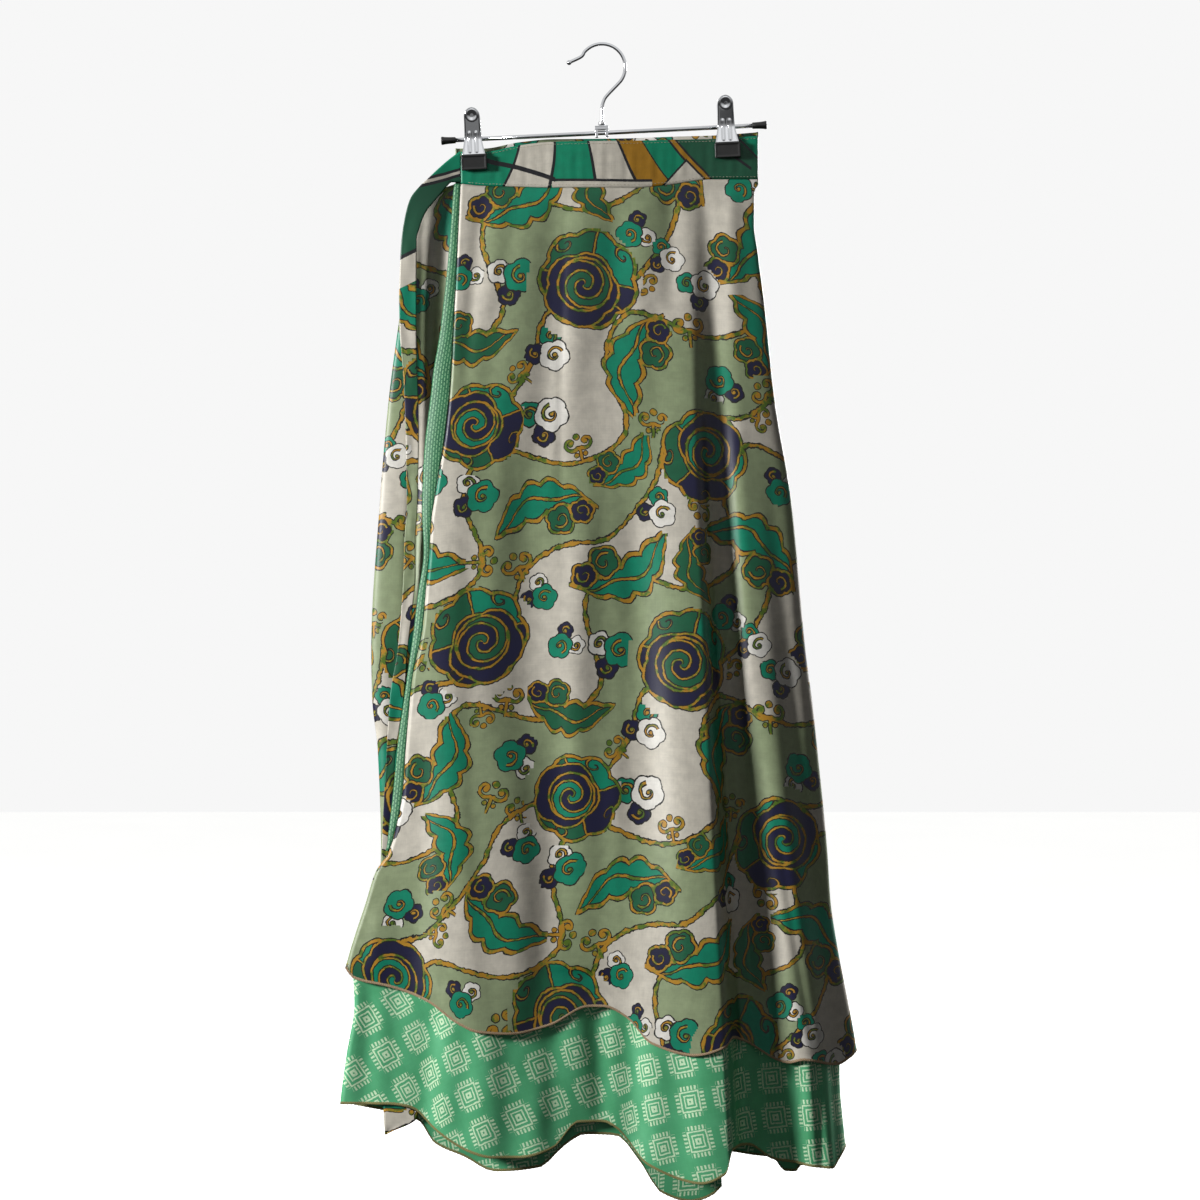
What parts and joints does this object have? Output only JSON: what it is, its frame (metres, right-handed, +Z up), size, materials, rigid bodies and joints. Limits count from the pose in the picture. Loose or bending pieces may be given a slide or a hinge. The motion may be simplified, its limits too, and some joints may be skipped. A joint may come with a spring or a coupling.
{
  "type": "wrap skirt on a clip hanger",
  "caption": "Long wrap skirt of a printed layer over a longer plain-cut one, with a waistband and hanging tie, clipped to a bar hanger with a wire hook.",
  "frame": {"origin": "the point on the inside of the hanger's hook where a rail carries it", "axes": "+Z up; the front of the skirt faces -Y; its over-wrap's free edge and hanging tie are towards -X; the rail runs along Y"},
  "size_m": [0.4735, 0.0977, 1.0625],
  "materials": {
    "rose_print": "satin",
    "green_print": "satin",
    "band_print": "satin",
    "facing": "satin",
    "chrome": "polished",
    "rubber": "matt"
  },
  "bodies": {
    "root": {"outer_front": "rose_print", "outer_back": "rose_print", "outer_underwrap": "rose_print", "under_front": "green_print", "under_back": "green_print", "under_underwrap": "green_print", "band_front": "band_print", "band_back": "band_print", "band_underwrap": "band_print", "tie_outer": "band_print", "tie_inner": "band_print", "edge_facing": "facing", "hook": "chrome", "hook_ball": "chrome", "swivel": "chrome", "bar": "chrome", "saddle": "chrome", "cap_left": "rubber", "cap_right": "rubber", "clip_left_spring": "chrome", "clip_left_lever_front": "chrome", "clip_left_lever_back": "chrome", "clip_left_jaw_front": "rubber", "clip_left_jaw_back": "rubber", "clip_right_spring": "chrome", "clip_right_lever_front": "chrome", "clip_right_lever_back": "chrome", "clip_right_jaw_front": "rubber", "clip_right_jaw_back": "rubber"}
  },
  "joints": []
}
